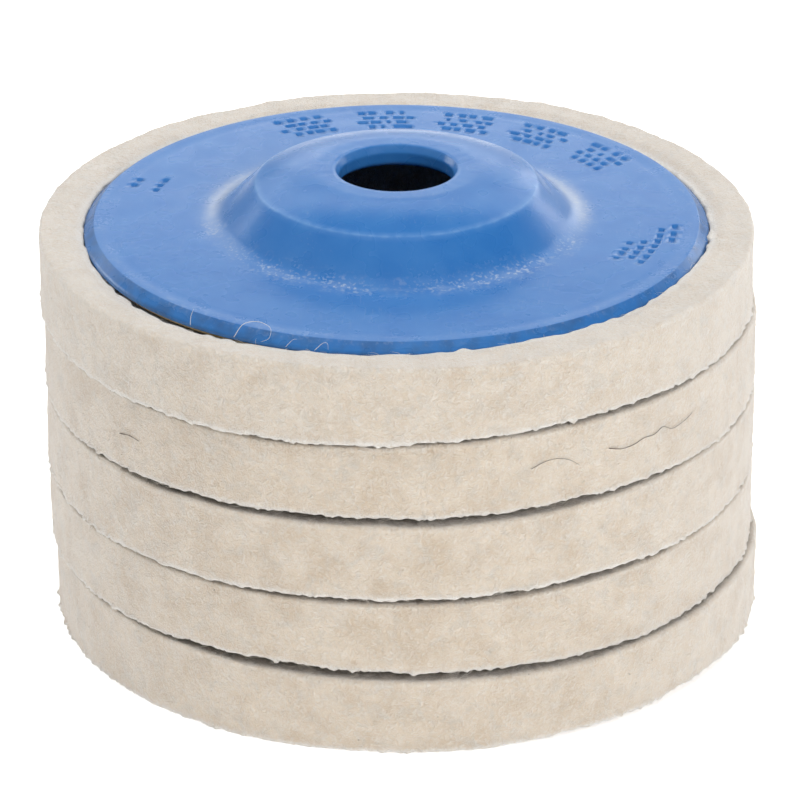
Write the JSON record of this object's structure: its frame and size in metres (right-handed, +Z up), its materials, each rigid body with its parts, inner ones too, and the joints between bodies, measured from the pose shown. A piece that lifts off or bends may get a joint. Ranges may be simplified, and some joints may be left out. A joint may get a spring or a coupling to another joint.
{
  "type": "felt polishing wheel",
  "caption": "Stack of felt polishing wheels: each a ring of wool felt glued to a raised-hub plastic backing plate with a plain central bore, nested hub into hole.",
  "frame": {"origin": "middle of the underside of the bottom wheel's felt, at the centre of the stack's footprint", "axes": "+Z up the stack, along the wheels' axes and out of the hubs; the stack is round, so +X and +Y are free and +Y is taken as away from the usual viewer"},
  "size_m": [0.1014, 0.1006, 0.0655],
  "materials": {
    "wool_felt": "matte",
    "blue_plastic": "satin",
    "glue": "satin"
  },
  "bodies": {
    "wheel_1": {"felt_ring_1": "wool_felt", "glue_layer_1": "glue", "backing_plate_1": "blue_plastic"},
    "wheel_2": {"felt_ring_2": "wool_felt", "glue_layer_2": "glue", "backing_plate_2": "blue_plastic"},
    "wheel_3": {"felt_ring_3": "wool_felt", "glue_layer_3": "glue", "backing_plate_3": "blue_plastic"},
    "wheel_4": {"felt_ring_4": "wool_felt", "glue_layer_4": "glue", "backing_plate_4": "blue_plastic"},
    "wheel_5": {"felt_ring_5": "wool_felt", "glue_layer_5": "glue", "backing_plate_5": "blue_plastic"}
  },
  "joints": [
    {"name": "lift_wheel_2", "type": "slide", "parent": "wheel_1", "child": "wheel_2", "axis": [0, 0, 1], "range_m": [0, 0.03]},
    {"name": "lift_wheel_3", "type": "slide", "parent": "wheel_2", "child": "wheel_3", "axis": [0, 0, 1], "range_m": [0, 0.03]},
    {"name": "lift_wheel_4", "type": "slide", "parent": "wheel_3", "child": "wheel_4", "axis": [0, 0, 1], "range_m": [0, 0.03]},
    {"name": "lift_wheel_5", "type": "slide", "parent": "wheel_4", "child": "wheel_5", "axis": [0, 0, 1], "range_m": [0, 0.03]}
  ]
}
